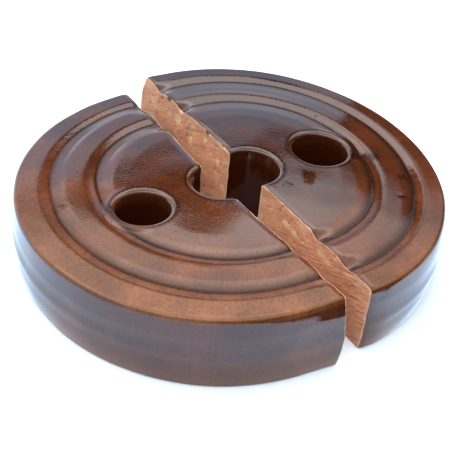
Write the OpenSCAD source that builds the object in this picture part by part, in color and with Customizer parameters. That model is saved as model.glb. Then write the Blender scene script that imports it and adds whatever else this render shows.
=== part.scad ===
// Split crock weight: a thick stoneware disc, thrown, glazed and cut into two halves.
// The halves are loose. They go into a fermentation crock one after the other and lie
// side by side on what they hold down. Each has a hole for a finger, and the hole in
// the middle of the disc was cut through with it.

/* [Disc] */
// Diameter of the whole disc at its widest, mm
disc_d = 190; // [175:1:240]
// Thickness of the disc at its rim, mm
rim_h = 38.5; // [30:0.5:45]
// How far the wall draws in between its widest ring and the top edge, mm
rim_tuck = 0.5; // [0:0.1:2]
// How far the wall draws in between its widest ring and the base, mm
foot_tuck = 2.2; // [0.5:0.1:6]
// Height of the wall's widest ring above the base, mm
belly_h = 16; // [12:0.5:22]
// Radius of the rounded top edge, mm
rim_round = 2; // [0.5:0.1:4]
// Radius of the rounded bottom edge, mm
foot_round = 1.5; // [0.5:0.1:3]

/* [Top rings] */
// Width of the flat land between the top edge and the outer groove, mm
land_w = 5.5; // [4:0.5:10]
// Width of the outer groove, from the land to the crest of the ring, mm
outer_groove_w = 17; // [12:0.5:19]
// Depth of the outer groove below the land, mm
outer_groove_depth = 1.9; // [0.5:0.1:4]
// Height of the ring's crest above the land, mm
ring_rise = 0.6; // [0:0.1:2]
// Width of the inner groove, from the crest of the ring to the plateau, mm
inner_groove_w = 21; // [14:0.5:24]
// Depth of the inner groove below the land, mm
inner_groove_depth = 2.1; // [0.5:0.1:4]
// Height of the plateau above the land, mm
plateau_rise = 2.5; // [1:0.1:5]

/* [Holes] */
// Diameter of each finger hole, mm
finger_hole_d = 28; // [24:0.5:32]
// Distance of each finger hole from the middle of the disc, mm
finger_hole_reach = 42; // [38:0.5:48]
// Diameter of the hole in the middle of the disc, mm
centre_hole_d = 29; // [24:0.5:32]
// Radius of the rounded lip at the top of every hole, mm
top_lip = 2.5; // [0.5:0.1:4]
// Radius of the rounded lip at the bottom of every hole, mm
base_lip = 1; // [0.5:0.1:2]

/* [Cut] */
// Width of clay that the cut took away, mm
kerf = 0.5; // [0.3:0.1:2]
// How far the cut runs to the left of the middle of the disc, mm
cut_offset = 1.5; // [0:0.1:3]

/* [Placing] */
// Gap between the two cut faces as the halves lie, mm
gap = 17; // [2:0.5:60]
// How far the right half has slid along the cut, mm
slip = 2.5; // [0:0.5:10]

/* [Hidden] */
$fn = 96;
// Straight stretches in each wave of the top and in each half of the wall
wave_steps = 8;
wall_steps = 6;
// Straight stretches in each rounded edge
round_steps = 5;
// What a cutter runs past the clay
past = 1;

disc_r = disc_d / 2;
rim_r = disc_r - rim_tuck;
foot_r = disc_r - foot_tuck;
land_r = rim_r - rim_round - land_w;
outer_groove_r = land_r - outer_groove_w / 2;
ring_r = land_r - outer_groove_w;
inner_groove_r = ring_r - inner_groove_w / 2;
plateau_r = ring_r - inner_groove_w;
plateau_h = rim_h + plateau_rise;
// Each half moves half of the way that opened the disc
half_move = [(gap - kerf) / 2, slip / 2];

// Points of one wave, from a level stretch at a to a level stretch at b
function wave(a, b) = [
    for (i = [0:wave_steps])
        let (t = i / wave_steps)
        [a[0] + (b[0] - a[0]) * t, a[1] + (b[1] - a[1]) * (1 - cos(180 * t)) / 2]
];

// Points of the wall, drawn in by tuck from height h0, where it's widest, to height h1
function wall(h0, h1, tuck) = [
    for (i = [0:wall_steps])
        let (t = i / wall_steps)
        [disc_r - tuck * t * t, h0 + (h1 - h0) * t]
];

// Points of a rounded edge about centre c, from angle a0 to angle a1
function edge(c, r, a0, a1) = [
    for (i = [0:round_steps])
        let (a = a0 + (a1 - a0) * i / round_steps)
        [c[0] + r * cos(a), c[1] + r * sin(a)]
];

function backwards(list) = [for (i = [len(list) - 1:-1:0]) list[i]];

// Half of the disc's section, from the middle of the base out, up the wall and back in
function section() = concat(
    [[0, 0]],
    edge([foot_r - foot_round, foot_round], foot_round, -90, 0),
    backwards(wall(belly_h, foot_round, foot_tuck)),
    wall(belly_h, rim_h - rim_round, rim_tuck),
    edge([rim_r - rim_round, rim_h - rim_round], rim_round, 0, 90),
    wave([land_r, rim_h], [outer_groove_r, rim_h - outer_groove_depth]),
    wave([outer_groove_r, rim_h - outer_groove_depth], [ring_r, rim_h + ring_rise]),
    wave([ring_r, rim_h + ring_rise], [inner_groove_r, rim_h - inner_groove_depth]),
    wave([inner_groove_r, rim_h - inner_groove_depth], [plateau_r, plateau_h]),
    [[0, plateau_h]]
);

module disc() {
    rotate_extrude()
        polygon(section());
}

// Cutter for one hole, with a rounded lip at the top and at the bottom
module hole(d) {
    r = d / 2;
    translate([0, 0, -past])
        cylinder(h = plateau_h + 2 * past, r = r);
    lip(r, top_lip, plateau_h, 1);
    lip(r, base_lip, 0, -1);
}

// Cutter that rounds a hole's edge where it meets the face at height h
module lip(r, size, h, way) {
    rotate_extrude()
        difference() {
            translate([r - past, way > 0 ? h - size : -past])
                square([size + past, size + past]);
            translate([r + size, h - way * size])
                circle(r = size);
        }
}

// One half as it lies in the whole disc: side is -1 to the left, 1 to the right
module half(side) {
    face_x = side * kerf / 2 - cut_offset;
    difference() {
        intersection() {
            disc();
            translate([side > 0 ? face_x : face_x - disc_d, -disc_r - past, -past])
                cube([disc_d, disc_d + 2 * past, plateau_h + 2 * past]);
        }
        hole(centre_hole_d);
        translate([side * finger_hole_reach, 0, 0])
            hole(finger_hole_d);
    }
}

module left_half() {
    color([0.36, 0.20, 0.14])
        translate(-half_move)
            half(-1);
}

module right_half() {
    color([0.42, 0.24, 0.16])
        translate(half_move)
            half(1);
}

left_half();
right_half();
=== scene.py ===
"""A split crock weight: two loose half discs of brown glazed stoneware with bare cut faces.

Each half is one closed mesh built in its own frame, in mm, then moved to its place in the row frame,
in metres. In its own frame the disc's centre is at x = y = 0 and the cut face at side * x = cut;
"across" is how far a point lies from the cut face, into the half.
"""

import math
from types import SimpleNamespace

import bmesh
import bpy
import numpy as np
from mathutils import Matrix, Vector
from mathutils.geometry import delaunay_2d_cdt


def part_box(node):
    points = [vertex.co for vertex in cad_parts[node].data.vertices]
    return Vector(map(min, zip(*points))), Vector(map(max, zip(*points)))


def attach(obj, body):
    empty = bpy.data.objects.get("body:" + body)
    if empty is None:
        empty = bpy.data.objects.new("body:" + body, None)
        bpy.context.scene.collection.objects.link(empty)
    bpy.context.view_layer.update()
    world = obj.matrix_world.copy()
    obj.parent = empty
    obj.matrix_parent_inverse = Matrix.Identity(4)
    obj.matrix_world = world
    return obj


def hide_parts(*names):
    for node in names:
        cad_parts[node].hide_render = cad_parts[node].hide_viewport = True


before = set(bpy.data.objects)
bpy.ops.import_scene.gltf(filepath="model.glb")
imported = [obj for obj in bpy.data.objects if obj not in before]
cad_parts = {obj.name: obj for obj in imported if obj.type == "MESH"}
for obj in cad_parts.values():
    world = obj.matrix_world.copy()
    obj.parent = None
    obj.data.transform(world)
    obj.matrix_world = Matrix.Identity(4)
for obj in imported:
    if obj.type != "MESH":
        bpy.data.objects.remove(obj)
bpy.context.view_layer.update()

MM = 0.001

# Sizes in mm. The wall is widest at BELLY_H and draws in by a tuck towards the rim and the foot.
RIM_H, BELLY_H = 38.5, 16.0
RIM_TUCK, FOOT_TUCK = 0.5, 2.2
RIM_ROUND, FOOT_ROUND = 1.5, 1.5
HOLE_REACH = 42.0
TOP_LIP, BASE_LIP = 2.2, 1.0

# The hand-cut finger holes and centre-hole notches: radius, and how far the middle lies off the CAD's
HOLES = {"left": (12.2, (0.0, 0.0)), "right": (13.8, (0.4, 0.3))}
NOTCHES = {"left": (14.0, (0.3, 1.2)), "right": (13.8, (1.7, 1.5))}

# The top's profile from the middle out: radii, then heights over the rim at the front and at the back,
# averaged over RING_SOFT either way. The rings' own centre lies RING_OFFSET off the rim's, and their
# radius wanders by RING_WANDER.
RING_R = (44.0, 51.5, 54.0, 58.3, 59.3, 62.0, 64.3, 66.0, 73.5, 78.4, 79.6, 82.3, 84.2, 86.5, 92.0)
RING_H = {
    "left": (
        (0.85, 0.8, 0.63, 0.08, 0.05, 0.45, 0.47, 0.5, 0.4, -0.32, -0.38, -0.12, 0.08, 0.07, 0.0),
        (0.95, 0.8, 0.5, -0.1, -0.12, 0.16, 0.4, 0.42, 0.38, -0.4, -0.42, -0.17, 0.0, 0.0, 0.0),
    ),
    "right": (
        (1.15, 1.0, 0.72, 0.05, 0.02, 0.38, 0.66, 0.68, 0.58, -0.3, -0.42, -0.06, 0.16, 0.14, 0.0),
        (1.3, 0.78, 0.5, 0.0, 0.03, 0.3, 0.52, 0.68, -0.05, -0.5, -0.5, -0.24, -0.05, 0.1, 0.0),
    ),
}
RING_SOFT, RING_SAMPLES = 0.8, 7
RING_OFFSET = {"left": (2.0, 1.7), "right": (1.6, 0.6)}
RING_WANDER = 0.35
# Where the glaze pooled dark in the rings: radius at the front and at the back, share likewise, width
POOLS = (
    ((59.2, 59.2), (0.85, 0.55), 1.0), ((79.5, 79.3), (0.85, 0.5), 1.0),
    ((62.9, 64.8), (0.6, 0.35), 0.7), ((84.3, 84.8), (0.6, 0.35), 0.7),
    ((58.0, 57.0), (0.65, 0.2), 2.3), ((77.9, 76.8), (0.6, 0.2), 2.3),
)
# Arcs of painted dark reflection, their gloss taken off: distance from the middle, direction, reach in
# degrees, width and share
DARK_REFLECTION_ARCS = {
    "left": ((27.0, -136, 26, 5.0, 0.62),),
    "right": ((61.0, -27, 18, 2.3, 1.0), (81.6, -39, 20, 2.2, 1.0), (28.5, -38, 15, 4.0, 0.74)),
}
# Patches of dark specks: distance from the middle, direction, size and share
BLOTCHES = {
    "left": ((56.0, 150, 4.0, 0.5), (77.0, 168, 4.0, 0.5), (19.0, 196, 3.0, 0.4), (24.0, 140, 7.0, 0.5)),
    "right": (
        (67.0, -14, 6.0, 0.65), (75.0, -28, 6.0, 0.6), (56.0, -12, 6.0, 0.65),
        (20.5, -62, 6.0, 0.6), (27.0, -30, 7.0, 0.6),
    ),
}
# Fine creases along the rings: distance from the middle, direction, reach in degrees, depth and width
CREASES = {
    "left": ((55.5, 124, 13, 0.2, 1.1), (75.5, 126, 16, 0.2, 1.1)),
    "right": ((70.0, 62, 26, 0.05, 1.3),),
}
# A low ridge round each finger hole's lip: its height, width and how far it fades out
BOSS_H, BOSS_WIDTH, BOSS_FADE = 0.9, 0.6, 3.0
# Where the top sags at the cut, across the rings: y, depth and width; all reach DIP_REACH in
DIPS = {
    "left": ((75.5, 1.0, 3.6), (55.5, 1.1, 3.2), (-57.5, 0.5, 3.0), (-79.5, 0.7, 3.6)),
    "right": ((81.0, 1.3, 3.2), (60.5, 1.7, 2.8), (-55.0, 1.5, 2.8), (-75.5, 1.5, 3.8)),
}
DIP_REACH = 5.0
# Dark pinholes in the glaze: distance from the middle, direction, size and share
SCARS = {"left": ((74.0, 165, 1.2, 1.0),), "right": ((73.5, -41, 1.7, 1.0), (64.0, 24, 0.9, 1.0))}
SCAR_DEPTH = 0.07
# The same dark line round the lips, just under the rim and beside the cut: share, how far off, width
LIP_POOL, LIP_POOL_AT, LIP_POOL_WIDTH = 0.8, 3.1, 1.0
RIM_POOL, RIM_POOL_AT, RIM_POOL_WIDTH = 0.7, 1.6, 0.5
CUT_POOL, CUT_POOL_WIDTH = 0.7, 1.2
# How bright the glaze is, partly painted light, brighter at the front and darker at the back: each half's
# share;
# brightness at the disc's middle and its painted gain by the rim towards +x and +y; a brighter fan (gain,
# direction and reach in radians); the plateau's share and lift, which end in two steps (share, radius,
# width); the wall; and the limits
TONE = {"left": 1.0, "right": 0.9}
PAINTED_LIGHT_SLOPE = (1.4, -0.65, -0.85)
TONE_FAN = (0.32, 0.25, 0.6)
PLATEAU_TONE = {"left": 0.58, "right": 0.47}
PLATEAU_LIFT = 0.1
PLATEAU_ENDS = ((0.55, 48, 8), (0.45, 77, 7))
WALL_TONE = 0.9
TONE_LIMITS = (0.35, 3)
# The glazed edges round down beside the cut: how far, and over what width
ROUND_DOWN, ROUND_WIDTH = 0.5, 3.2

# Mesh spacing on the top, base, cut faces, bores and cut edges, in mm; how many rows the wall and each
# rounded edge have; and how far in from an edge its first two rows of points lie
STEP, BASE_STEP, CUT_STEP = 0.75, 2.6, 0.62
NOTCH_STEP, HOLE_STEP, BORE_STEP, EDGE_STEP = 0.6, 0.7, 1.2, 0.6
WALL_ROWS, ARC_ROWS, FOOT_ARC_ROWS = 46, 8, 4
EDGE_ROWS = (0.22, 0.5)

GLAZE, CLAY = 0, 1


def smooth(t):
    """0 below 0, 1 above 1, and a smooth step between."""
    t = np.clip(t, 0.0, 1.0)
    return t * t * (3 - 2 * t)


def bell(t):
    """A bump of height 1 at 0 that fades to nothing by about 2."""
    return np.exp(-t * t)


def waves(points, size, seed, count=16):
    """A smooth random field of about unit height whose bumps are about size apart."""
    rng = np.random.default_rng(seed)
    way = rng.normal(size=(count, points.shape[1]))
    way /= np.linalg.norm(way, axis=1, keepdims=True)
    way *= 2 * math.pi / size * rng.uniform(0.6, 1.5, (count, 1))
    start = rng.uniform(0, 2 * math.pi, count)
    return np.cos(points @ way.T + start).sum(1) * math.sqrt(2 / count)


# ---- the form, in one half's own frame


def wall_radius(h):
    """The outer wall's radius at height h."""
    up = np.clip((h - BELLY_H) / (RIM_H - BELLY_H), 0, 1)
    down = np.clip((BELLY_H - h) / BELLY_H, 0, 1)
    return DISC_R - RIM_TUCK * up**2 - FOOT_TUCK * down**2


def ring_radius(half, x, y):
    """The distance from the rings' own centre, which wanders off the rim's centre inwards."""
    r, turn = np.hypot(x, y), np.arctan2(y, x)
    share = 1 - np.clip(r / DISC_R, 0, 1) ** 8
    off_x, off_y = RING_OFFSET[half.name]
    off = np.hypot(x - off_x * share, y - off_y * share)
    wander = np.cos(2 * turn + 0.7) + 0.6 * np.cos(3 * turn + 2.1)
    return off + RING_WANDER * wander * share


def spots(x, y, places):
    """The sum of bumps at places given as distance from the middle, direction, size and share."""
    mark = 0 * x
    for far, way, size, share in places:
        way = math.radians(way)
        mark += share * bell(np.hypot(x - far * math.cos(way), y - far * math.sin(way)) / size)
    return mark


def off_bore(x, y, bore):
    """How far from a bore's wall, outwards."""
    (middle_x, middle_y), radius = bore
    return np.hypot(x - middle_x, y - middle_y) - radius


def creases(half, x, y):
    """How deep the fine creases along the rings are."""
    r, turn = ring_radius(half, x, y), np.degrees(np.arctan2(y, x))
    deep = 0 * x
    for far, way, reach, depth, width in CREASES[half.name]:
        off = (turn - way + 180) % 360 - 180
        deep += depth * bell((r - far) / width) * smooth(1.5 * (1 - np.abs(off) / reach))
    return deep


def top_height(half, x, y):
    """The height of the glazed top."""
    r, turn = ring_radius(half, x, y), np.arctan2(y, x)
    steps = RING_SOFT * np.linspace(-1, 1, RING_SAMPLES)
    front, back = (
        sum(np.interp(r + step, RING_R, line) for step in steps) / RING_SAMPLES
        for line in RING_H[half.name]
    )
    h = front + (back - front) * (0.5 + 0.5 * np.sin(turn))
    boss = smooth(1 - (off_bore(x, y, half.hole) - TOP_LIP - BOSS_WIDTH) / BOSS_FADE)
    h += boss * np.maximum(BOSS_H - h, 0)
    near_cut = bell((half.side * x - half.cut) / DIP_REACH)
    for at, depth, width in DIPS[half.name]:
        h -= depth * near_cut * bell((y - at) / width)
    return RIM_H + h - SCAR_DEPTH * spots(x, y, SCARS[half.name]) - creases(half, x, y)


class Shell:
    """The points and faces of one closed mesh."""

    def __init__(self):
        self.points, self.count = [], 0
        self.faces, self.slots = [], []

    def add(self, points):
        """Adds points and returns their numbers, in the same layout."""
        points = np.asarray(points, float)
        flat = points.reshape(-1, 3)
        numbers = np.arange(self.count, self.count + len(flat))
        self.points.append(flat)
        self.count += len(flat)
        return numbers.reshape(points.shape[:-1])

    def place(self, numbers):
        """The points of these numbers."""
        return np.concatenate(self.points)[numbers]

    def grid(self, numbers, slot, closed=False):
        """Faces between neighbouring rows and columns of numbers."""
        if closed:
            numbers = np.concatenate([numbers, numbers[:, :1]], 1)
        above, below = numbers[:-1], numbers[1:]
        quads = np.stack([above[:, :-1], above[:, 1:], below[:, 1:], below[:, :-1]], -1)
        quads = quads.reshape(-1, 4).tolist()
        self.faces += quads
        self.slots += [slot] * len(quads)

    def fill(self, loops, inner, flatten, slot):
        """Triangles inside the first loop and outside the others, through the inner points."""
        numbers = np.concatenate([*loops, inner])
        flat = flatten(self.place(numbers))
        edges, start = [], 0
        for loop in loops:
            count = len(loop)
            edges += [(start + i, start + (i + 1) % count) for i in range(count)]
            start += count
        made = delaunay_2d_cdt([Vector(p) for p in flat], edges, [], 0, 1e-6, True)
        source = [ids[0] for ids in made[3]]
        tris = np.array([[source[v] for v in f] for f in made[2]])
        risky = (tris < start).all(1)
        middle = flat[tris].mean(1)
        outline = [flatten(self.place(loop)) for loop in loops]
        keep = ~risky
        keep[risky] = inside(middle[risky], outline)
        self.faces += numbers[tris[keep]].tolist()
        self.slots += [slot] * int(keep.sum())


def inside(points, loops):
    """Whether each point lies inside the first closed line and outside the others."""
    odd = np.zeros(len(points), bool)
    for loop in loops:
        a, b = loop, np.roll(loop, -1, 0)
        for (x0, y0), (x1, y1) in zip(a, b):
            crosses = (y0 > points[:, 1]) != (y1 > points[:, 1])
            if crosses.any():
                at = x0 + (points[:, 1] - y0) * (x1 - x0) / (y1 - y0)
                odd ^= crosses & (points[:, 0] < at)
    return odd


def turned(half, radii, heights, columns):
    """A sheet of revolution whose two ends lie on the cut face; rows go from the top down."""
    radii, heights = radii[:, None], heights[:, None]
    turn = np.arccos(half.cut / radii) * np.linspace(-1, 1, columns)
    x, y = half.side * radii * np.cos(turn), radii * np.sin(turn)
    return np.stack([x, y, heights + 0 * x], -1)


def quarter(n):
    """The share outwards and the share down along a rounded edge, from its top."""
    t = np.linspace(0, math.pi / 2, n)
    return np.sin(t), 1 - np.cos(t)


def wall_sheet(half, shell):
    """The rim's rounding, the outer wall and the foot's rounding."""
    out, down = quarter(ARC_ROWS)
    rim = wall_radius(RIM_H) - RIM_ROUND + RIM_ROUND * out
    side = np.linspace(RIM_H - RIM_ROUND, FOOT_ROUND, WALL_ROWS)[1:]
    foot = wall_radius(FOOT_ROUND) - FOOT_ROUND * down[1:]
    radii = np.concatenate([rim, wall_radius(side), foot])
    heights = np.concatenate([RIM_H - RIM_ROUND * down, side, FOOT_ROUND * (1 - out[1:])])
    numbers = shell.add(turned(half, radii, heights, int(math.pi * DISC_R / STEP)))
    shell.grid(numbers, GLAZE)
    return numbers


def bore_sheet(half, shell, radius, circle):
    """A bore with rounded lips; circle gives the plan points at a radius."""
    rows = []
    out, down = quarter(ARC_ROWS)
    for r, drop in zip(radius + TOP_LIP * (1 - out), TOP_LIP * down):
        x, y = circle(r)
        rows.append(np.stack([x, y, top_height(half, x, y) - drop], -1))
    x, y = circle(radius)
    edge = rows[-1][:, 2]
    for t in np.linspace(0, 1, int(RIM_H / BORE_STEP))[1:]:
        rows.append(np.stack([x, y, edge + (BASE_LIP - edge) * t], -1))
    out, down = quarter(FOOT_ARC_ROWS)
    for r, h in zip(radius + BASE_LIP * down[1:], BASE_LIP * (1 - out[1:])):
        x, y = circle(r)
        rows.append(np.stack([x, y, 0 * x + h], -1))
    return shell.add(np.array(rows))


def notch_circle(half):
    """Plan points of the notch at a radius, from the front cut edge to the back one."""
    (x, y), radius = half.notch
    columns = int(math.pi * radius / NOTCH_STEP)

    def at(r):
        turn = math.acos((half.cut - half.side * x) / r) * np.linspace(-1, 1, columns)
        return x + half.side * r * np.cos(turn), y + r * np.sin(turn)

    return at


def finger_circle(half):
    """Plan points of the finger hole at a radius, once round."""
    (x, y), radius = half.hole
    columns = int(2 * math.pi * radius / HOLE_STEP)
    turn = np.linspace(0, 2 * math.pi, columns, endpoint=False)

    def at(r):
        return x + r * np.cos(turn), y + r * np.sin(turn)

    return at


def cut_line(half, shell, a, b, over_top):
    """Numbers of the points along the cut between corners a and b, both included."""
    pa, pb = shell.place([a, b])
    count = max(2, int(abs(pb[1] - pa[1]) / EDGE_STEP))
    y = np.linspace(pa[1], pb[1], count + 1)[1:-1]
    x = np.full_like(y, half.side * half.cut)
    z = top_height(half, x, y) if over_top else 0 * y
    return np.concatenate([[a], shell.add(np.stack([x, y, z], -1)), [b]])


def distance_to(points, line):
    """Each point's distance from the nearest point of a line."""
    parts = np.array_split(points, 40)
    return np.concatenate([np.linalg.norm(p[:, None] - line[None], axis=2).min(1) for p in parts])


def clear_of(points, loops, gap):
    """The points that are farther than gap from every loop's points."""
    for loop in loops:
        points = points[distance_to(points, loop) > gap]
    return points


def clear_rings(half, outline, spacing, gap):
    """Plan points on rings inside the outline that lie farther than gap from both bores' walls."""
    found = []
    for i, r in enumerate(np.arange(half.notch[1], np.hypot(*outline[0]), spacing)):
        end = math.acos(min(1.0, half.cut / r))
        count = max(3, int(2 * end * r / spacing))
        turn = (np.arange(count) + 0.5 * (i % 2)) / count * 2 * end - end
        found.append(np.stack([half.side * r * np.cos(turn), r * np.sin(turn)], -1))
    points = np.concatenate(found)
    for bore in (half.notch, half.hole):
        points = points[off_bore(*points.T, bore) > gap]
    return points


def plan(points):
    """The points' x and y."""
    return points[:, :2]


def cap_loops(shell, ring, notch, hole, edges):
    """The loops round the top or the base and round its finger hole, as numbers and in the plan."""
    outer = np.concatenate([ring, edges["back"][1:], notch[::-1][1:], edges["front"][1:-1]])
    return [outer, hole], [plan(shell.place(loop)) for loop in (outer, hole)]


def cover_top(half, shell, rim, notch, hole, edges):
    """The glazed top, with its rings."""
    loops, lines = cap_loops(shell, rim, notch, hole, edges)
    rows = []
    for edge in edges.values():
        line = plan(shell.place(edge))[2:-2]
        rows += [line + [half.side * gap, 0] for gap in EDGE_ROWS]
    inner = clear_rings(half, lines[0], STEP, TOP_LIP + 0.4 * STEP)
    inner = clear_of(inner, [*lines, *rows], 0.5 * STEP)
    inner = np.concatenate([inner, *rows])
    high = top_height(half, inner[:, 0], inner[:, 1])
    numbers = shell.add(np.column_stack([inner, high]))
    shell.fill(loops, numbers, plan, GLAZE)


def cover_base(half, shell, foot, notch, hole, edges):
    """The flat unglazed underside."""
    loops, lines = cap_loops(shell, foot, notch, hole, edges)
    inner = clear_rings(half, lines[0], BASE_STEP, BASE_LIP + 0.5 * BASE_STEP)
    inner = clear_of(inner, lines, 0.5 * BASE_STEP)
    numbers = shell.add(np.column_stack([inner, 0 * inner[:, 0]]))
    shell.fill(loops, numbers, plan, CLAY)


def cover_cut(half, shell, outline):
    """One bare cut face between the notch and the outer wall; also how far its points lie from its edge."""
    flat = shell.place(outline)[:, 1:]
    along, up = (np.arange(low, high, CUT_STEP) for low, high in zip(flat.min(0), flat.max(0)))
    y, z = np.meshgrid(along, up)
    y = y + 0.5 * CUT_STEP * (np.arange(len(up)) % 2)[:, None]
    inner = np.stack([y.ravel(), z.ravel()], -1)
    inner = inner[inside(inner, [flat])]
    tangent = np.roll(flat, -1, 0) - np.roll(flat, 1, 0)
    normal = np.stack([-tangent[:, 1], tangent[:, 0]], -1)
    normal /= np.linalg.norm(normal, axis=1, keepdims=True)
    if not inside(flat[10:11] + normal[10:11] * 0.1, [flat])[0]:
        normal = -normal
    rows = [flat + normal * gap for gap in EDGE_ROWS]
    rows = [clear_of(r[inside(r, [flat])], [flat], 0.8 * gap) for r, gap in zip(rows, EDGE_ROWS)]
    inner = clear_of(inner, [flat, rows[-1]], 0.55 * CUT_STEP)
    inner = np.concatenate([inner, *rows])
    x = np.full((len(inner), 1), half.side * half.cut)
    numbers = shell.add(np.column_stack([x, inner]))
    shell.fill([outline], numbers, lambda p: p[:, 1:], CLAY)
    return numbers, distance_to(inner, flat)


def build(half):
    """The half's mesh and, for the points of the cut faces, their distance from the faces' edge."""
    shell = Shell()
    wall = wall_sheet(half, shell)
    notch = bore_sheet(half, shell, half.notch[1], notch_circle(half))
    hole = bore_sheet(half, shell, half.hole[1], finger_circle(half))
    shell.grid(notch, GLAZE)
    shell.grid(hole, GLAZE, closed=True)
    top, base = (
        {
            "back": cut_line(half, shell, wall[row, -1], notch[row, -1], row == 0),
            "front": cut_line(half, shell, notch[row, 0], wall[row, 0], row == 0),
        }
        for row in (0, -1)
    )
    cover_top(half, shell, wall[0], notch[0], hole[0], top)
    cover_base(half, shell, wall[-1], notch[-1], hole[-1], base)
    depth = {}
    for name, end, forward in (("back", -1, 1), ("front", 0, -1)):
        down, up = notch[1:, end], wall[::-1, end][1:-1]
        outline = np.concatenate([top[name][::forward], down, base[name][::-forward][1:], up])
        numbers, deep = cover_cut(half, shell, outline)
        depth.update(zip(numbers.tolist(), deep.tolist()))
        depth.update((point, 0.0) for point in outline.tolist())
    return shell, depth


# ---- the hand-made irregularities

# Chips in the cut edges: y, height, size and depth, in mm
CHIPS = {
    "left": ((80, 38, 2.0, 0.3), (-61, 39, 2.5, 0.3), (-30, 41, 2.0, 0.2)),
    "right": (
        (60.5, 38, 1.6, 1.5), (72, 38, 2.2, 0.6), (36, 40, 2.6, 0.7),
        (22, 41, 2.2, 0.9), (-49, 39, 2.4, 0.4),
    ),
}
# The chips deeper than this took glaze, up to this much beyond their size
GLAZED_CHIP, GLAZED_REACH = 0.5, 1.2
# Pale lime lumps in the cut faces: y, height, half width and half height
LIME = {
    "left": ((48, 20, 2.0, 2.6), (-52, 27, 3.2, 2.0), (-68, 12, 2.2, 2.2)),
    "right": (
        (61.4, 31.1, 4.4, 4.0), (49.8, 26.0, 2.2, 3.0), (36.7, 33.8, 2.0, 2.6),
        (24.4, 28.4, 2.2, 3.0), (18.7, 17.1, 1.8, 2.2), (-32.5, 29.8, 3.4, 2.4),
        (-39.7, 29.1, 3.0, 2.4), (-58.8, 31.6, 3.0, 2.2), (-64.5, 30.9, 2.8, 2.0),
    ),
}
# How far the wire ran off the flat cut along x, for the back (1) and the front (-1) end of each half:
# from and to what distance from the middle it grows, then heights and shifts. It fades WIRE_REACH in.
WIRE = {
    "left": {1: (20, 60, (0, 26, 38), (0.0, 0.0, 2.6)), -1: (30, 75, (0, 18, 28, 38), (4.2, 3.8, 2.8, 1.8))},
    "right": {1: (50, 85, (0, 25, 38), (-1.0, -1.6, 0.0)), -1: (40, 90, (0, 20, 38), (1.6, 1.0, -0.2))},
}
WIRE_REACH = 16.0
# How far the wall swells near its back and front cut ends: heights and shifts, fading END_REACH in
ENDS = {
    "left": {-1: ((0, 8, 20, 30, 38), (1.7, 2.0, 1.6, 1.1, 0.3))},
    "right": {
        1: ((0, 20, 30, 38), (1.4, 2.7, 2.6, 1.0)),
        -1: ((0, 12, 20, 29, 38), (-1.2, -2.2, -2.4, -1.2, -0.4)),
    },
}
END_REACH = 13.0
# How far each half swells out, away from the cut
FULLER = 0.95
# How each half left the kiln out of round (mm at the rim, two waves and three waves round: cosine and
# sine) and out of level (slopes along x and y)
WARPS = {
    "left": ((1.319, 0.08), (0.597, -0.314), (0.01915, -0.0256)),
    "right": ((-0.399, 1.73), (-0.585, -0.116), (-0.02679, 0.0129)),
}
# Throwing ridges round the wall: height, its wander, waves and phase round, width, and how far out
RIDGES = ((17.0, 1.2, 1, 0.4, 3.0, 0.45), (28.0, -1.0, 2, 0.0, 2.2, 0.12))
# How far the wall leans in over its last RIM_LEAN_H mm, and how much more and how far round near lean_at
RIM_LEAN, RIM_LEAN_H = 0.08, 9.0
LEAN_MORE, LEAN_REACH = 0.55, 0.35
# A slow swell of the whole half: its height, size, and share on the top
SWELL, SWELL_SIZE, TOP_SWELL = 0.05, 24.0, 0.3
# The wire's drag lines: slope; wander (height, size); waves (size, count, share); depth, its share at
# the back, and from where over what length it grows to the front; patches (mean, height, size)
DRAG_SLOPE = math.radians(23)
DRAG_WANDER = (0.5, 30)
DRAG_WAVES = ((1.9, 10, 1.0), (3.4, 8, 0.7))
DRAG_DEPTH, DRAG_BACK, DRAG_FROM, DRAG_GROWS = 0.2, 0.35, 30, 50
DRAG_PATCHES = (0.6, 0.5, 16)
# The cut face's unevenness (height, size, count of waves), sink and highest point; and its pits' size,
# count of waves, rarity and depth
CUT_WAVES = ((0.09, 9, 24), (0.05, 2.6, 40), (0.10, 45, 16))
CUT_SINK, CUT_HIGHEST = 0.05, 0.18
PIT_SIZE, PIT_WAVES, PIT_RARE, PIT_DEPTH = 4.2, 30, 1.5, 0.7
# How far the cut edges are worn back, and how far down the cut face
WEAR = {"left": (0.75, 0.6), "right": (0.2, 1.1)}


def edge_loss(half, points):
    """How far the cut edge is worn or chipped back into the half near each point."""
    along = points[:, 1:]
    loss = WEAR[half.name][0] + 0.08 * np.clip(waves(along, 8.0, half.seed), -1, 2)
    for y, h, size, depth in CHIPS[half.name]:
        away = np.hypot(along[:, 0] - y, 0.7 * (along[:, 1] - h)) / size
        loss += depth * bell(away)
    return loss


def cut_relief(half, points):
    """The height of the cut face over its plane: wire drag, grit and slow wander."""
    along = points[:, 1:]
    forward, up = -along[:, 0], along[:, 1]
    lean = up * math.cos(DRAG_SLOPE) - forward * math.sin(DRAG_SLOPE)
    lean += DRAG_WANDER[0] * waves(along, DRAG_WANDER[1], half.seed + 1)
    lines = 0 * lean
    for i, (size, count, share) in enumerate(DRAG_WAVES):
        lines += share * waves(lean[:, None], size, half.seed + 2 + i, count)
    front = DRAG_BACK + (1 - DRAG_BACK) * smooth((forward - DRAG_FROM) / DRAG_GROWS)
    mean, height, size = DRAG_PATCHES
    patch = smooth(mean + height * waves(along, size, half.seed + 4))
    relief = -DRAG_DEPTH * front * patch * np.clip(lines + 0.2, 0, 2) - CUT_SINK
    for i, (height, size, count) in enumerate(CUT_WAVES):
        relief += height * waves(along, size, half.seed + 5 + i, count)
    pits = np.clip(waves(along, PIT_SIZE, half.seed + 8, PIT_WAVES) - PIT_RARE, 0, 1)
    return np.minimum(relief - PIT_DEPTH * pits, CUT_HIGHEST)


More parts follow.
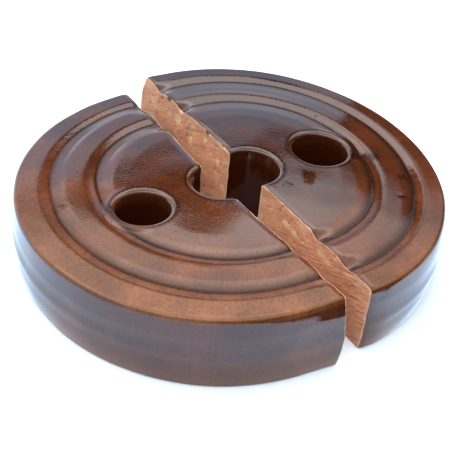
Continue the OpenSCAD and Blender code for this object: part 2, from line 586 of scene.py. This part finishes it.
def wire_shift(half, points):
    """How far the cut lies off its plane, along x."""
    y, z = points[:, 1], points[:, 2]
    shift = 0 * y
    for end, (start, full, heights, shifts) in WIRE[half.name].items():
        shift += smooth((end * y - start) / (full - start)) * np.interp(z, heights, shifts)
    return shift


def end_swell(half, points):
    """How far the wall swells near its two cut ends."""
    across = half.side * points[:, 0] - half.cut
    swell = 0 * across
    for end, (heights, shifts) in ENDS[half.name].items():
        near = np.clip(1 - across / END_REACH, 0, 1) ** 2 * (end * points[:, 1] > 0)
        swell += near * np.interp(points[:, 2], heights, shifts)
    return swell


def work_cut(half, points, deep):
    """Moves the points at and near the cut face across it; deep is a number only for the face's own."""
    across = half.side * points[:, 0] - half.cut
    wire = wire_shift(half, points) * np.clip(1 - across / WIRE_REACH, 0, 1) ** 2
    loss = edge_loss(half, points)
    on_cut = ~np.isnan(deep)
    depth = np.where(on_cut, np.nan_to_num(deep), 0)
    worn, reach = WEAR[half.name]
    reach = reach + np.maximum(loss - worn, 0)
    back_cut = loss * np.clip(1 - depth / reach, 0, 1) ** 1.5
    back_skin = loss * np.clip(1 - across / (2.5 + 2 * loss), 0, 1) ** 2
    move = np.where(on_cut, back_cut, back_skin)
    move -= np.where(on_cut, cut_relief(half, points) * smooth(depth / 1.4), 0)
    points[:, 0] += half.side * move + wire


def rim_lean(half, turn):
    """How far the wall leans in over its last few mm, round the rim."""
    lean = RIM_LEAN * (1 + np.cos(3 * turn + half.seed))
    return lean + LEAN_MORE * bell((half.side * turn - half.lean_at) / LEAN_REACH)


def work_skin(half, points):
    """Throwing ridges, leaning rim, swelling cut ends and a slow swell over the whole half."""
    x, y, z = points.T
    across = half.side * x - half.cut
    r, turn = np.hypot(x, y), np.arctan2(y, half.side * x)
    outer = smooth((r - 0.82 * DISC_R) / (0.14 * DISC_R))
    lean = rim_lean(half, turn) * smooth((z - RIM_H + RIM_LEAN_H) / RIM_LEAN_H) ** 2
    shift = end_swell(half, points) - lean
    for at, wander, count, phase, width, out in RIDGES:
        shift += out * bell((z - at - wander * np.cos(count * turn + phase)) / width)
    near_cut = np.clip(1 - across / ROUND_WIDTH, 0, 1) ** 2
    shift -= 0.7 * ROUND_DOWN * near_cut
    scale = 1 + outer * shift / np.maximum(r, 1)
    z -= ROUND_DOWN * near_cut * smooth((z - RIM_H + 7) / 8)
    swell = np.stack([SWELL * waves(points, SWELL_SIZE, half.seed + 20 + i) for i in range(3)], -1)
    swell[:, 0] *= smooth(across / 8)
    swell[:, 2] *= TOP_SWELL * smooth(z / 5)
    points[:, 0] *= scale
    points[:, 1] *= scale
    points += swell


def warp(half, points):
    """Out of round and out of level, as the half left the kiln."""
    (a2, b2), (a3, b3), (slope_x, slope_y) = WARPS[half.name]
    x, y, z = points.T
    r, turn = np.hypot(x, y) / DISC_R, np.arctan2(y, x)
    grow = (a2 * np.cos(2 * turn) + b2 * np.sin(2 * turn)) / DISC_R
    grow += (a3 * np.cos(3 * turn) + b3 * np.sin(3 * turn)) * r / DISC_R
    grow += FULLER * r * smooth(1.6 * np.abs(np.cos(turn))) / DISC_R
    tilt = (slope_x * x + slope_y * y) * z / RIM_H
    return np.stack([x * (1 + grow), y * (1 + grow), z + tilt], -1)


def thin_glaze(points):
    """From 0 to 1, how far the glaze has run thin, over the rim."""
    x, y, z = points.T
    return bell((np.hypot(x, y) - DISC_R + 1.0) / 0.5) * bell((z - RIM_H + 0.5) / 0.5)


def bore_painted_shade(half, points):
    """From 0 to 1, how far down a bore a point is, for the painted shade that darkens the glaze there."""
    x, y, z = points.T
    away = np.minimum(off_bore(x, y, half.notch), off_bore(x, y, half.hole))
    return (1 - smooth(away / 1.2)) * smooth((RIM_H - 2.2 - z) / 5)


def glaze_tone_and_painted_light(half, points):
    """How bright and coppery the glaze is: painted light, brighter at the front and darker at the back, and
    a darker plateau.
    """
    x, y, z = points.T
    middle, right, back = PAINTED_LIGHT_SLOPE
    # Painted light: brighter towards -x and -y, at the front, and darker towards the back.
    tone = TONE[half.name] * (middle + (right * x + back * y) / DISC_R)
    gain, way, reach = TONE_FAN
    tone += gain * bell((np.arctan2(y, x) - way) / reach)
    far = ring_radius(half, x, y)
    land = sum(share * smooth((far - start) / width) for share, start, width in PLATEAU_ENDS)
    tone = tone * (PLATEAU_TONE[half.name] * (1 - land) + land) + PLATEAU_LIFT * (1 - land)
    wall = smooth((RIM_H - RIM_ROUND - z) / 2)
    return np.clip(tone * (1 - wall) + WALL_TONE * wall, *TONE_LIMITS)


def pooled(half, points):
    """From 0 to 1, where the glaze pooled dark: in rings, pinholes, round lips, at the rim and the cut."""
    x, y, z = points.T
    r = ring_radius(half, x, y)
    back = 0.5 + 0.5 * np.sin(np.arctan2(y, x))
    pool = spots(x, y, SCARS[half.name])
    for places, shares, width in POOLS:
        at, share = (front + (rear - front) * back for front, rear in (places, shares))
        pool += share * bell((r - at) / width)
    for bore in (half.hole, half.notch):
        off = off_bore(x, y, bore) - LIP_POOL_AT
        pool = np.maximum(pool, LIP_POOL * bell(off / LIP_POOL_WIDTH))
    pool = np.maximum(pool, CUT_POOL * bell((half.side * x - half.cut) / CUT_POOL_WIDTH))
    pool = np.clip(pool, 0, 1) * smooth((z - RIM_H + 2.5) / 1.5)
    on_rim = np.hypot(x, y) > DISC_R - RIM_ROUND
    return np.maximum(pool, RIM_POOL * on_rim * bell((z - RIM_H + RIM_POOL_AT) / RIM_POOL_WIDTH))


def painted_dark_reflections(half, points):
    """From 0 to 1, the arcs of painted dark reflection, where the gloss is taken off."""
    x, y = points[:, 0], points[:, 1]
    r, turn = ring_radius(half, x, y), np.degrees(np.arctan2(y, x))
    mark = 0 * x
    for far, way, reach, width, share in DARK_REFLECTION_ARCS[half.name]:
        mark += share * bell(((r - far) / width) ** 2) * bell(((turn - way) / reach) ** 2)
    return mark


def patches(points, places):
    """From 0 to 1, marks on the cut face at places given as y, height, half width and half height."""
    mark = 0 * points[:, 0]
    for y, h, wide, tall in places:
        mark += bell(np.hypot((points[:, 1] - y) / wide, (points[:, 2] - h) / tall))
    return np.clip(mark, 0, 1)


def make_half(half, surfaces):
    """Builds one half's mesh and its object, at its place in the row frame."""
    shell, depth = build(half)
    points = np.concatenate(shell.points)
    own = points.copy()
    deep = np.full(len(points), np.nan)
    deep[list(depth)] = list(depth.values())
    work_skin(half, points)
    work_cut(half, points, deep)
    points = warp(half, points)
    points[:, 2] = np.maximum(points[:, 2], 0)
    points[:, :2] += half.centre
    mesh = bpy.data.meshes.new(half.node)
    mesh.from_pydata((points * MM).tolist(), [], shell.faces)
    for surface in surfaces:
        mesh.materials.append(surface)
    mesh.polygons.foreach_set("material_index", shell.slots)
    mesh.attributes.new("own", "FLOAT_VECTOR", "POINT").data.foreach_set("vector", own.ravel())
    chips = [chip for chip in CHIPS[half.name] if chip[3] > GLAZED_CHIP]
    glazed = [(y, h, GLAZED_REACH * size, GLAZED_REACH * size) for y, h, size, depth in chips]
    marks = {
        "thin": thin_glaze(own),
        # bore: painted shade down the bores
        "bore": bore_painted_shade(half, own),
        "tone": glaze_tone_and_painted_light(half, own),
        "depth": np.where(np.isnan(deep), 0, deep),
        "drip": patches(own, glazed),
        "lime": patches(own, LIME[half.name]),
        "pool": pooled(half, own),
        "specks": np.clip(spots(own[:, 0], own[:, 1], BLOTCHES[half.name]), 0, 1),
        # the arcs of painted dark reflection
        "dark_reflection": painted_dark_reflections(half, own),
    }
    for name, values in marks.items():
        mesh.attributes.new(name, "FLOAT", "POINT").data.foreach_set("value", values)
    tidy_mesh(mesh)
    piece = bpy.data.objects.new(half.node + "_glazed", mesh)
    bpy.context.scene.collection.objects.link(piece)
    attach(piece, half.name)
    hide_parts(half.node)


def tidy_mesh(mesh):
    """Turns all faces outwards, shades them smooth and keeps the cut's edges sharp."""
    made = bmesh.new()
    made.from_mesh(mesh)
    bmesh.ops.recalc_face_normals(made, faces=made.faces)
    for edge in made.edges:
        pair = edge.link_faces
        edge.smooth = len(pair) == 2 and pair[0].material_index == pair[1].material_index
    made.to_mesh(mesh)
    made.free()
    mesh.polygons.foreach_set("use_smooth", [True] * len(mesh.polygons))
    mesh.update()


# ---- materials

# Colours, as light that they reflect
AMBER = (0.0602, 0.0150, 0.0046, 1)
COPPER = (0.0590, 0.0201, 0.0072, 1)
GOLD = (0.2304, 0.1056, 0.0211, 1)
# Dark glaze: painted shade down the bores, and the glaze in the glazed chips
BORE_SHADE_AND_DRIP = (0.030, 0.005, 0.0012, 1)
CLAY_RED = (0.456, 0.204, 0.109, 1)
CLAY_SALMON = (0.538, 0.272, 0.159, 1)
CLAY_DARK = (0.274, 0.107, 0.056, 1)
CLAY_PALE = (0.653, 0.499, 0.259, 1)
CLAY_CREAM = (0.634, 0.413, 0.269, 1)

# A grain is a noise's size in mm, detail and roughness. A range is the two values between which a
# result changes, then the result at each. Clouds, runs, bands and flecks mottle the glaze's light.
MOTTLES = (
    ("own", (22.0, 4.0, 0.6), (0.3, 0.7, 0.68, 1.22)),
    ("run", (1.1, 4.0, 0.6), (0.3, 0.7, 0.92, 1.08)),
    ("band", (3.0, 3.0, 0.6), (0.3, 0.7, 0.9, 1.1)),
    ("own", (1.3, 3.0, 0.7), (0.42, 0.75, 1.1, 0.62)),
)
# The radius at which a run is as wide as its grain, and how slowly runs and bands change along
# themselves
RUN_R, RUN_SLOW, BAND_SLOW = 80.0, 0.1, 0.08
# What marks do to the glaze: the two values between which they act, then the light and gloss they leave; the
# dark reflection arcs are painted, their gloss all but taken off
GLAZE_MARKS = {"pool": (0.0, 1.0, 0.3, 0.5), "specks": (0.0, 1.0, 0.35, 0.4), "dark_reflection": (0.2, 0.34, 1.1, 0.05)}
SPECK_GRAIN, SPECK_RANGE = (0.8, 2.0, 0.7), (0.22, 0.34)
DARK_REFLECTION_GRAIN = (2.5, 5.0, 0.75)
COPPER_RANGE = (0.9, 2.4)
# The gloss by how bright the glaze is, then the gloss left down the bores, cut back there as a painted dark
# reflection
COAT_RANGE, BORE_SHADE_COAT = (1.1, 2.0, 1.0, 0.58), 0.22
GOLD_SHARE = 0.25
# The orange peel: two grains and their heights in mm
PEEL = (((0.9, 2.0, 0.5), 0.017), ((6.0, 1.0, 0.4), 0.011))

CLAY_GRAIN, CLAY_RANGE = (14.0, 4.0, 0.6), (0.3, 0.7)
CLAY_STAINS = (
    ((3.0, 4.0, 0.7), (0.52, 0.75, 0.0, 0.35), CLAY_DARK),
    ((11.0, 1.0, 0.4, 0.3), (0.60, 0.68, 0.0, 0.2), CLAY_PALE),
)
LIME_GRAIN, LIME_RANGE = (4.0, 3.0, 0.6), (0.14, 0.42, 0.0, 0.62)
DRIP_GRAIN, DRIP_RANGE = (2.0, 2.0, 0.5), (0.28, 0.42, 0.0, 0.85)
# The fine drag lines, which change this slowly along themselves, and how they fade towards the back
DRAG_GRAIN, DRAG_RANGE, DRAG_SLOW = (0.75, 3.0, 0.6), (0.46, 0.66, 0.0, 0.95), 0.06
DRAG_FADE = (-80.0, -35.0, 1.0, 0.25)
# The paler cream by the distance from the face's edge, and the painted shade that darkens the face's back
# end, by y
EDGE_CREAM_RANGE, BACK_PAINTED_SHADE = (0.5, 1.0, 0.6, 0.0), (35.0, 85.0, 1.0, 0.84)
GRIT_GRAIN, GRIT_H, DRAG_H = (0.9, 4.0, 0.7), 0.12, 0.2
DUST_GRAIN, DUST_ROUGH = (2.0,), (0.3, 0.7, 0.75, 0.95)

# The factor, the colours and the result among the sockets of a node that mixes colours
MIX_SHARE, MIX_A, MIX_B, MIX_RESULT = 0, 6, 7, 2


class Nodes:
    """Adds nodes to a node tree in one line each."""

    def __init__(self, tree):
        self.tree = tree
        tree.nodes.clear()

    def add(self, kind, inputs=None, **settings):
        node = self.tree.nodes.new("ShaderNode" + kind)
        for name, value in settings.items():
            setattr(node, name, value)
        for name, value in (inputs or {}).items():
            if isinstance(value, bpy.types.NodeSocket):
                self.tree.links.new(value, node.inputs[name])
            else:
                node.inputs[name].default_value = value
        return node

    def mark(self, name, output="Fac"):
        """An attribute of the mesh."""
        return self.add("Attribute", attribute_name=name).outputs[output]

    def parts(self, place):
        return list(self.add("SeparateXYZ", {"Vector": place}).outputs)

    def vector(self, parts):
        return self.add("CombineXYZ", parts).outputs[0]

    def noise(self, place, size, detail=3.0, rough=0.55, distortion=0.0):
        inputs = {"Vector": place, "Scale": 1 / size, "Detail": detail}
        inputs.update({"Roughness": rough, "Distortion": distortion})
        return self.add("TexNoise", inputs).outputs["Fac"]

    def patchy(self, name, place, grain):
        """An attribute of the mesh broken up by noise."""
        return self.times(self.mark(name), self.noise(place, *grain))

    def span(self, value, low, high, to_low=0.0, to_high=1.0):
        """A smooth step from to_low, where the value is low, to to_high, where it is high."""
        inputs = {"Value": value, "From Min": low, "From Max": high, "To Min": to_low, "To Max": to_high}
        return self.add("MapRange", inputs, interpolation_type="SMOOTHSTEP").outputs["Result"]

    def math(self, operation, a, b=0.0):
        return self.add("Math", {0: a, 1: b}, operation=operation).outputs[0]

    def times(self, a, b):
        return self.math("MULTIPLY", a, b)

    def scaled(self, colour, share):
        return self.add("VectorMath", {0: colour, "Scale": share}, operation="SCALE").outputs[0]

    def mix(self, share, a, b):
        inputs = {MIX_SHARE: share, MIX_A: a, MIX_B: b}
        return self.add("Mix", inputs, data_type="RGBA").outputs[MIX_RESULT]

    def bump(self, height, distance, normal=None):
        inputs = {"Height": height, "Distance": distance * MM, "Strength": 1.0}
        if normal is not None:
            inputs["Normal"] = normal
        return self.add("Bump", inputs).outputs["Normal"]

    def surface(self, inputs):
        shader = self.add("BsdfPrincipled", inputs)
        self.add("OutputMaterial", {"Surface": shader.outputs[0]})


def material(name):
    """A new material and its empty node tree."""
    made = bpy.data.materials.new(name)
    made.use_nodes = True
    return made, Nodes(made.node_tree)


def glaze_places(n, own):
    """Where the mottles are read: on the half as it is, drawn out along runs, and round the wall."""
    x, y, z = n.parts(own)
    radius = n.math("SQRT", n.math("ADD", n.times(x, x), n.times(y, y)))
    around = n.math("DIVIDE", RUN_R, radius)
    run = {"X": n.times(x, around), "Y": n.times(y, around), "Z": n.times(radius, RUN_SLOW)}
    band = {"X": n.times(x, BAND_SLOW), "Y": n.times(y, BAND_SLOW), "Z": z}
    return {"own": own, "run": n.vector(run), "band": n.vector(band)}


def glaze_material():
    """Iron-brown glaze: amber over the clay, darker where it pooled, with a fine orange peel, painted light
    and painted shade.
    """
    made, n = material("brown_glaze")
    # bore: painted shade down the bores
    own, tone, bore = n.mark("own", "Vector"), n.mark("tone"), n.mark("bore")
    places = glaze_places(n, own)
    # The glaze's brightness starts from painted light, brighter at the front and darker at the back.
    light = tone
    for place, grain, change in MOTTLES:
        light = n.times(light, n.span(n.noise(places[place], *grain), *change))
    # Down the bores the gloss is cut back: a painted dark reflection.
    coat = n.times(n.span(tone, *COAT_RANGE), n.span(bore, 0.0, 1.0, 1.0, BORE_SHADE_COAT))
    marks = {
        "pool": n.mark("pool"),
        "specks": n.span(n.patchy("specks", own, SPECK_GRAIN), *SPECK_RANGE),
        # the arcs of painted dark reflection, where the gloss is taken off
        "dark_reflection": n.patchy("dark_reflection", own, DARK_REFLECTION_GRAIN),
    }
    for name, (low, high, dim, matt) in GLAZE_MARKS.items():
        light = n.times(light, n.span(marks[name], low, high, 1.0, dim))
        coat = n.times(coat, n.span(marks[name], low, high, 1.0, matt))
    colour = n.scaled(n.mix(n.span(tone, *COPPER_RANGE), AMBER, COPPER), light)
    colour = n.mix(n.times(n.mark("thin"), GOLD_SHARE), colour, GOLD)
    # Painted shade darkens the glaze down the bores.
    colour = n.mix(bore, colour, BORE_SHADE_AND_DRIP)
    peel = None
    for grain, height in PEEL:
        peel = n.bump(n.noise(own, *grain), height, peel)
    looks = {"Base Color": colour, "Roughness": 0.4, "IOR": 1.5, "Specular IOR Level": 0.0}
    looks |= {"Coat Weight": coat, "Coat Roughness": 0.035, "Coat IOR": 1.5}
    n.surface({**looks, "Normal": peel, "Coat Normal": peel})
    return made


def clay_material():
    """Bare salmon stoneware: grit, fine wire drag, paler cream along its edge, lime lumps and painted shade
    at its back end.
    """
    made, n = material("bare_clay")
    own = n.mark("own", "Vector")
    y, z = n.parts(own)[1:]
    rise = n.math("ADD", n.times(z, math.cos(DRAG_SLOPE)), n.times(y, math.sin(DRAG_SLOPE)))
    drag = n.noise(n.vector({"X": rise, "Y": n.times(y, DRAG_SLOW)}), *DRAG_GRAIN)
    front = n.span(y, *DRAG_FADE)
    colour = n.mix(n.span(n.noise(own, *CLAY_GRAIN), *CLAY_RANGE), CLAY_RED, CLAY_SALMON)
    for grain, change, stain in CLAY_STAINS:
        colour = n.mix(n.span(n.noise(own, *grain), *change), colour, stain)
    colour = n.mix(n.span(n.patchy("lime", own, LIME_GRAIN), *LIME_RANGE), colour, CLAY_PALE)
    colour = n.mix(n.times(front, n.span(drag, *DRAG_RANGE)), colour, CLAY_DARK)
    # Paler cream near the face's edge.
    colour = n.mix(n.span(n.mark("depth"), *EDGE_CREAM_RANGE), colour, CLAY_CREAM)
    # Painted shade: the cut face darkens towards its back end.
    colour = n.scaled(colour, n.span(y, *BACK_PAINTED_SHADE))
    colour = n.mix(n.span(n.patchy("drip", own, DRIP_GRAIN), *DRIP_RANGE), colour, BORE_SHADE_AND_DRIP)
    grit = n.bump(n.noise(own, *GRIT_GRAIN), GRIT_H)
    grit = n.bump(n.times(drag, front), DRAG_H, grit)
    rough = n.span(n.noise(own, *DUST_GRAIN), *DUST_ROUGH)
    looks = {"Base Color": colour, "Roughness": rough, "IOR": 1.45, "Specular IOR Level": 0.3}
    n.surface({**looks, "Normal": grit})
    return made


# ---- studio

# The photo's camera: its turn from +y towards +x, its drop and roll; how far it stands from the point
# that it looks at, and that point, in metres; its lens and film in mm, and the depth that it sees
VIEW_TURN, VIEW_DROP, VIEW_ROLL = (math.radians(angle) for angle in (37.119, 37.608, 6.205))
VIEW_DISTANCE, VIEW_AT = 0.480, (-0.02322, -0.03031, 0.036)
VIEW_LENS, VIEW_FILM, VIEW_DEPTH = 85.0, 36.0, (0.01, 50.0)


def view_axes():
    """The camera's right, up and forward in the row frame, before its roll."""
    ct, st = math.cos(VIEW_TURN), math.sin(VIEW_TURN)
    ce, se = math.cos(VIEW_DROP), math.sin(VIEW_DROP)
    return Vector((ct, -st, 0)), Vector((st * se, ct * se, ce)), Vector((st * ce, ct * ce, -se))


def make_camera():
    """The camera at the photo's viewpoint."""
    right, up, forward = view_axes()
    cr, sr = math.cos(VIEW_ROLL), math.sin(VIEW_ROLL)
    across, above = cr * right + sr * up, -sr * right + cr * up
    place = Matrix((across, above, -forward)).transposed().to_4x4()
    place.translation = Vector(VIEW_AT) - VIEW_DISTANCE * forward
    data = bpy.data.cameras.new("camera")
    data.lens, data.sensor_width = VIEW_LENS, VIEW_FILM
    data.clip_start, data.clip_end = VIEW_DEPTH
    camera = bpy.data.objects.new("camera", data)
    camera.matrix_world = place
    bpy.context.scene.collection.objects.link(camera)
    bpy.context.scene.camera = camera


def stage_mesh(name, corners, made, faces=None):
    """A flat thing of the studio: one face round its corners, unless faces are given."""
    mesh = bpy.data.meshes.new(name)
    mesh.from_pydata(corners, [], faces or [tuple(range(len(corners)))])
    mesh.materials.append(made)
    thing = bpy.data.objects.new(name, mesh)
    bpy.context.scene.collection.objects.link(thing)
    return thing


def mirrored_only(card):
    """Hides a card from all but reflections."""
    card.visible_camera = card.visible_diffuse = card.visible_shadow = False


def plain_material(name, colour, rough):
    """A matt material of one colour."""
    made, n = material(name)
    n.surface({"Base Color": colour, "Roughness": rough, "Specular IOR Level": 0.2})
    return made


def compass(count):
    """Unit vectors in the plan, evenly round."""
    turns = np.linspace(0, 2 * math.pi, count, endpoint=False)
    return np.array([(math.cos(a), math.sin(a)) for a in turns])


FLOOR_REACH, FLOOR_COLOUR = 16.0, (0.72, 0.82, 0.93, 1)


def make_floor():
    """The plain pale floor."""
    corners = [(x, y, 0) for x, y in FLOOR_REACH * compass(64)]
    stage_mesh("floor", corners, plain_material("floor_white", FLOOR_COLOUR, 0.6))


# Dark cards: stations in degrees, as direction right of the view, lowest and highest elevation, seen
# from FLAG_UP over the floor and FLAG_AWAY from the cards, in metres
FLAGS = {
    "flag_band": (
        (-40, 34.6, 35.6), (-16.5, 34.6, 35.5), (-15.0, 34.3, 35.5), (-12.8, 33.4, 36.0), (-9, 32.8, 36.3),
        (-7.5, 32.4, 36.4), (-6, 32.3, 36.7), (-5.2, 32.8, 37.1), (-4.2, 33.3, 37.0), (-3.4, 33.6, 36.3),
        (-2.6, 33.8, 35.8), (-1.6, 33.8, 35.0), (0, 33.2, 34.8), (2, 32.6, 35.4), (3, 32.2, 36.6),
        (4.4, 31.5, 36.4), (4.9, 31.4, 33.4), (5.5, 31.2, 33.1), (7, 31.0, 32.9), (9, 30.8, 32.2),
    ),
    "flag_right": (
        (7.8, 28.9, 30.8), (9, 28.0, 31.6), (10.3, 22.0, 31.6), (12, 8.0, 31.6), (15, 3.0, 31.6),
        (18, 3.0, 31.5), (30, 3.0, 31.4), (75, 3.0, 31.0),
    ),
    "flag_room": tuple((turn, -0.4, 22.0) for turn in range(50, 286, 15)),
}
FLAG_AWAY, FLAG_UP, FLAG_COLOUR = 8.0, 0.03, (0.02, 0.02, 0.02, 1)


def flag_corner(turn, level):
    """The point of a card in a direction right of the view and at an elevation, in degrees."""
    a, e = VIEW_TURN + math.radians(turn), math.radians(level)
    return FLAG_AWAY * math.sin(a), FLAG_AWAY * math.cos(a), FLAG_AWAY * math.tan(e) + FLAG_UP


def make_flags():
    """Dark cards that the glaze mirrors as unlit patches; the camera doesn't see them."""
    dark = plain_material("flag_black", FLAG_COLOUR, 0.9)
    for name, stations in FLAGS.items():
        corners = [flag_corner(turn, low) for turn, low, high in stations]
        corners += [flag_corner(turn, high) for turn, low, high in stations[::-1]]
        last = len(corners) - 1
        faces = [(i, i + 1, last - 1 - i, last - i) for i in range(len(stations) - 1)]
        stage_mesh(name, corners, dark, faces).visible_camera = False


# The dark beyond the white paper's straight edge: how far off that runs, and which way from -y towards
# +x; the dark's reach, height over the floor and colour
EDGE_AWAY, EDGE_WAY = 0.131, math.radians(11.8)
EDGE_REACH, EDGE_H, EDGE_COLOUR = 4.0, 0.0004, (0.01, 0.01, 0.01, 1)


def make_edge():
    """The dark beyond the white paper's edge, which only the glaze mirrors."""
    out = np.array([math.sin(EDGE_WAY), -math.cos(EDGE_WAY)])
    along = EDGE_REACH * np.array([math.cos(EDGE_WAY), math.sin(EDGE_WAY)])
    near, far = EDGE_AWAY * out, EDGE_REACH * out
    corners = [(*corner, EDGE_H) for corner in (near - along, near + along, far + along, far - along)]
    mirrored_only(stage_mesh("beyond", corners, plain_material("beyond_black", EDGE_COLOUR, 0.9)))


# The white paper's glow. Beside the walls it lies in their shade: its colours there towards the camera
# and to the sides, and the cosines between which they change; the radii about each half of the shade,
# the full glow and its end; and its height over the floor
GLOW = (1.70, 2.28, 3.0, 1)
SHADE_FRONT, SHADE_SIDE, SHADE_TURN = (1.35, 1.05, 0.95, 1), (1.15, 1.5, 1.9, 1), (0.35, 0.75)
GLOW_INNER, GLOW_FULL, GLOW_REACH, GLOW_H = 0.092, 0.119, 4.0, 0.0002


def make_glow(halves):
    """The white paper as the glaze mirrors it, cool from the tent's sides."""
    made, n = material("glow_cool")
    glow = n.add("Emission", {"Color": n.mark("glow", "Color"), "Strength": 1.0})
    n.add("OutputMaterial", {"Surface": glow.outputs[0]})
    rays = compass(64)
    count = len(rays)
    low, high = SHADE_TURN
    front = smooth((rays @ -np.array(view_axes()[2][:2]) - low) / (high - low))[:, None]
    shade = front * SHADE_FRONT + (1 - front) * SHADE_SIDE
    corners, colours = [], []
    for away in (GLOW_INNER, GLOW_FULL, GLOW_REACH):
        for ray, dark in zip(rays, shade):
            half = halves[0] if ray[0] < 0 else halves[1]
            corners.append((*(half.centre * MM + away * ray), GLOW_H))
            colours.append(dark if away == GLOW_INNER else GLOW)
    faces = []
    for i in range(2 * count):
        j = i + 1 if (i + 1) % count else i + 1 - count
        faces.append((i, j, j + count, i + count))
    card = stage_mesh("glow", corners, made, faces)
    marks = card.data.attributes.new("glow", "FLOAT_COLOR", "POINT")
    marks.data.foreach_set("color", np.ravel(colours))
    mirrored_only(card)


# The tent's light by the sine of the elevation: a cool wall in two shades, then three steps (from, to,
# colour); and how the wall, then all of it, changes by the sine of the direction to the right
SKY_LOW = ((0.30, 0.46), (1.20, 1.46, 1.78, 1), (0.76, 1.05, 1.40, 1))
SKY_STEPS = (
    (0.52, 0.59, (3.0, 2.95, 2.9, 1)),
    (0.67, 0.77, (5.25, 5.15, 5.05, 1)),
    (0.84, 0.93, (2.3, 2.3, 2.3, 1)),
)
SIDE_LOW, SIDE_ALL = (-0.35, -0.04, 1.6, 1.0), (0.08, 0.2, 1.0, 0.7)


def make_world():
    """A soft white tent: cool near the horizon, brighter and warmer overhead."""
    world = bpy.data.worlds.new("tent")
    world.use_nodes = True
    bpy.context.scene.world = world
    n = Nodes(world.node_tree)
    way = n.add("TexCoord").outputs["Generated"]
    up = n.parts(way)[2]
    side = n.add("VectorMath", {0: way, 1: view_axes()[0]}, operation="DOT_PRODUCT").outputs["Value"]
    change, nearest, farther = SKY_LOW
    sky = n.scaled(n.mix(n.span(up, *change), nearest, farther), n.span(side, *SIDE_LOW))
    for low, high, colour in SKY_STEPS:
        sky = n.mix(n.span(up, low, high), sky, colour)
    back = n.add("Background", {"Color": sky, "Strength": n.span(side, *SIDE_ALL)})
    n.add("OutputWorld", {"Surface": back.outputs[0]})


# Each half's side of the cut, seed, and where its wall leans in most, in radians from across the cut
HALVES = {"left": (-1, 11, -1.2), "right": (1, 47, -1.0)}


def read_half(name, side, seed, lean_at):
    """One half's place and cut, from its CAD node's box, with its own values."""
    node = name + "_half"
    low, high = (np.array(corner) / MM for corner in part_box(node))
    middle = high[0] - DISC_R if side > 0 else low[0] + DISC_R
    face = low[0] if side > 0 else high[0]
    hole_r, (hole_x, hole_y) = HOLES[name]
    notch_r, notch_at = NOTCHES[name]
    return SimpleNamespace(
        name=name,
        node=node,
        side=side,
        seed=seed,
        centre=np.array([middle, (low[1] + high[1]) / 2]),
        cut=side * (face - middle),
        lean_at=lean_at,
        hole=((side * HOLE_REACH + hole_x, hole_y), hole_r),
        notch=(notch_at, notch_r),
    )


right_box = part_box("right_half")
DISC_R = (right_box[1].y - right_box[0].y) / 2 / MM

make_camera()
make_floor()
make_flags()
make_edge()
make_world()
surfaces = (glaze_material(), clay_material())
halves = [read_half(name, *values) for name, values in HALVES.items()]
make_glow(halves)
for half in halves:
    make_half(half, surfaces)

bpy.context.scene.view_settings.view_transform = "Standard"
